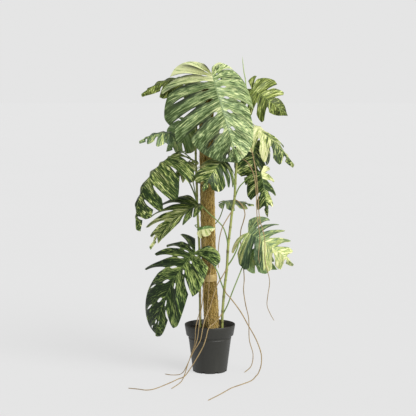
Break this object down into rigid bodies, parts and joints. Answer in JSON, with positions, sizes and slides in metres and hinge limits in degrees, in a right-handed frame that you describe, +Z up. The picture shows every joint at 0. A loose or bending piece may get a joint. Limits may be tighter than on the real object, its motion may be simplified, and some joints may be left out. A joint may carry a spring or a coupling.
{
  "type": "potted variegated monstera",
  "caption": "Tall climbing house plant with split, holed, cream-marbled leaves, grown up a coir pole in a plain nursery pot, with long trailing aerial roots.",
  "frame": {"origin": "centre of the pot's underside, on the surface it stands on", "axes": "+Z up, +X to the viewer's right, +Y away from the front"},
  "size_m": [0.7651, 0.8045, 1.4924],
  "materials": {
    "pot": "matt moulded plastic",
    "soil": "damp bark and peat mix",
    "coir": "coarse coconut fibre",
    "tie": "worn coir band",
    "stem": "smooth, satin",
    "petiole": "smooth, satin",
    "root": "dry, matt",
    "leaf": "waxy, satin"
  },
  "bodies": {
    "root": {"pot": "pot", "soil": "soil", "coir_pole": "coir", "pole_tie": "tie", "stem_right": "stem", "stem_left": "stem", "new_shoot": "stem", "blade_crown": "leaf", "blade_top_left": "leaf", "blade_top_right": "leaf", "blade_right_cream": "leaf", "blade_right_inner": "leaf", "blade_right_hanging": "leaf", "blade_left_arching": "leaf", "blade_left_small": "leaf", "blade_left_pale": "leaf", "blade_centre": "leaf", "blade_left_inner": "leaf", "blade_left_middle": "leaf", "blade_low_left": "leaf", "blade_pole_cream": "leaf", "blade_edge_on": "leaf", "blade_low_right": "leaf", "blade_low_pale": "leaf", "petiole_crown": "petiole", "petiole_top_left": "petiole", "petiole_top_right": "petiole", "petiole_right_cream": "petiole", "petiole_right_inner": "petiole", "petiole_right_hanging": "petiole", "petiole_left_arching": "petiole", "petiole_left_small": "petiole", "petiole_left_pale": "petiole", "petiole_centre": "petiole", "petiole_left_inner": "petiole", "petiole_left_middle": "petiole", "petiole_low_left": "petiole", "petiole_pole_cream": "petiole", "petiole_edge_on": "petiole", "petiole_low_right": "petiole", "petiole_low_pale": "petiole", "root_long_right": "root", "root_right": "root", "root_twin_left": "root", "root_twin_right": "root", "root_pole_right": "root", "root_pole_front": "root", "root_cross": "root", "root_pole_left": "root", "root_back_left": "root", "root_long_left": "root"}
  },
  "joints": []
}
